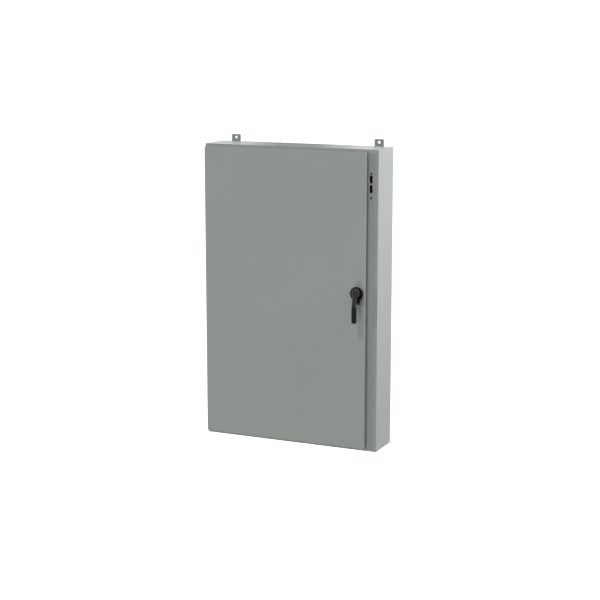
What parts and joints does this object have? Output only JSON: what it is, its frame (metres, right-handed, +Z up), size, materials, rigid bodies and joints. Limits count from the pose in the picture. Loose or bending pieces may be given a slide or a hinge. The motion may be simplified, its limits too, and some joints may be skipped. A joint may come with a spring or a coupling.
{
  "type": "automatic transfer switch",
  "caption": "Wall-mounted grey steel transfer switch cabinet: hinged door with padlocking lever and latch rods, slotted flange, motor transfer carriage between two switches.",
  "frame": {"origin": "centre of the four wall holes, on the wall plane", "axes": "+X to the right seen from the front, -Y out of the wall through the door, +Z up"},
  "size_m": [0.9515, 0.2692, 1.594],
  "materials": {
    "shell_paint": "semi-gloss grey powder coat",
    "panel_paint": "white powder coat",
    "zinc_steel": "zinc plated",
    "handle_black": "black textured powder coat",
    "switch_plastic": "moulded thermoset",
    "guide_plastic": "moulded nylon",
    "controller_plastic": "moulded polycarbonate",
    "duct_plastic": "extruded grey PVC",
    "pocket_plastic": "moulded polystyrene",
    "copper_bar": "bare copper",
    "brass_stud": "brass",
    "lug_aluminium": "tin plated aluminium",
    "cast_aluminium": "die cast",
    "insulator_red": "glass polyester",
    "frame_paint": "dark grey paint",
    "motor_paint": "dark enamel",
    "display_glass": "clear window over a dark display",
    "core_iron": "varnished laminations",
    "coil_copper": "enamelled wire under tape",
    "relay_plastic": "translucent relay covers",
    "terminal_plastic": "polyamide",
    "wire_red": "PVC insulation",
    "gasket_rubber": "closed-cell neoprene",
    "manual_orange": "moulded hand grip",
    "toggle_white": "moulded"
  },
  "bodies": {
    "enclosure": {"back_sheet": "shell_paint", "left_side": "shell_paint", "right_side": "shell_paint", "top_cap": "shell_paint", "bottom_cap": "shell_paint", "mounting_feet": "shell_paint", "panel_studs": "zinc_steel", "sub_panel": "panel_paint", "panel_nuts": "zinc_steel", "hinge_body_leaf": "shell_paint", "hinge_pin": "zinc_steel", "ground_stud": "brass_stud", "ground_bar": "copper_bar", "neutral_bar": "copper_bar", "bar_insulators": "insulator_red", "normal_switch_base": "switch_plastic", "normal_switch_cover": "switch_plastic", "emergency_switch_base": "switch_plastic", "emergency_switch_cover": "switch_plastic", "terminal_lugs": "lug_aluminium", "load_bus": "copper_bar", "lug_screws": "zinc_steel", "phase_barriers": "insulator_red", "operator_frame": "frame_paint", "guide_rods": "zinc_steel", "gear_housing": "cast_aluminium", "drive_motor": "motor_paint", "controller_case": "controller_plastic", "controller_display": "display_glass", "transformer_core": "core_iron", "transformer_coil": "coil_copper", "din_rails": "zinc_steel", "relays": "relay_plastic", "terminal_blocks": "terminal_plastic", "wire_ducts": "duct_plastic", "duct_covers": "duct_plastic", "control_leads": "wire_red"},
    "door": {"door_pan": "shell_paint", "door_gasket": "gasket_rubber", "door_stiffeners": "shell_paint", "hinge_door_leaf": "shell_paint", "rod_guides": "guide_plastic", "document_pocket": "pocket_plastic", "escutcheon": "handle_black", "padlock_hasp": "handle_black", "shaft_bushing": "zinc_steel"},
    "handle": {"handle_lever": "handle_black", "handle_grip": "handle_black", "handle_shaft": "zinc_steel", "latch_cam": "zinc_steel"},
    "top_rod": {"top_rod": "zinc_steel"},
    "bottom_rod": {"bottom_rod": "zinc_steel"},
    "top_roller": {"top_roller": "guide_plastic"},
    "bottom_roller": {"bottom_roller": "guide_plastic"},
    "carriage": {"transfer_carriage": "zinc_steel"},
    "pinion": {"drive_pinion": "zinc_steel", "manual_handle": "manual_orange"},
    "normal_toggle": {"normal_toggle": "toggle_white"},
    "emergency_toggle": {"emergency_toggle": "toggle_white"},
    "test_button": {"test_button": "toggle_white"}
  },
  "joints": [
    {"name": "door_swing", "type": "hinge", "parent": "enclosure", "child": "door", "pos_m": [-0.4735, -0.20645, 0], "axis": [0, 0, -1], "range_deg": [0, 180]},
    {"name": "handle_turn", "type": "hinge", "parent": "door", "child": "handle", "pos_m": [0.37275, -0.2032, 0.047], "axis": [0, 1, 0], "range_deg": [0, 90]},
    {"name": "top_rod_slide", "type": "slide", "parent": "door", "child": "top_rod", "axis": [0, 0, 1], "range_m": [-0.0283, 0]},
    {"name": "bottom_rod_slide", "type": "slide", "parent": "door", "child": "bottom_rod", "axis": [0, 0, 1], "range_m": [0, 0.0283]},
    {"name": "top_roller_spin", "type": "hinge", "parent": "top_rod", "child": "top_roller", "pos_m": [0.38775, -0.192, 0.72525], "axis": [1, 0, 0], "continuous": true},
    {"name": "bottom_roller_spin", "type": "hinge", "parent": "bottom_rod", "child": "bottom_roller", "pos_m": [0.35775, -0.192, -0.72525], "axis": [1, 0, 0], "continuous": true},
    {"name": "carriage_slide", "type": "slide", "parent": "enclosure", "child": "carriage", "axis": [0, 0, 1], "range_m": [-0.03057, 0]},
    {"name": "pinion_turn", "type": "hinge", "parent": "enclosure", "child": "pinion", "pos_m": [0.0461, -0.148, 0.06], "axis": [0, 1, 0], "range_deg": [-109.6, 0]},
    {"name": "normal_toggle_tilt", "type": "hinge", "parent": "enclosure", "child": "normal_toggle", "pos_m": [-0.11, -0.1, 0.25], "axis": [1, 0, 0], "range_deg": [0, 34.1]},
    {"name": "emergency_toggle_tilt", "type": "hinge", "parent": "enclosure", "child": "emergency_toggle", "pos_m": [-0.11, -0.1, -0.13], "axis": [1, 0, 0], "range_deg": [0, 34.1]},
    {"name": "test_button_press", "type": "slide", "parent": "enclosure", "child": "test_button", "axis": [0, 1, 0], "range_m": [0, 0.003], "stiffness_N_per_m": 400, "springref_m": -0.002}
  ],
  "couplings": [
    {"joint": "top_rod_slide", "follows": "handle_turn", "m_per_rad": -0.018006},
    {"joint": "bottom_rod_slide", "follows": "handle_turn", "m_per_rad": 0.018006},
    {"joint": "pinion_turn", "follows": "carriage_slide", "rad_per_m": 62.5},
    {"joint": "normal_toggle_tilt", "follows": "carriage_slide", "rad_per_m": -19.41},
    {"joint": "emergency_toggle_tilt", "follows": "carriage_slide", "rad_per_m": -19.41}
  ]
}
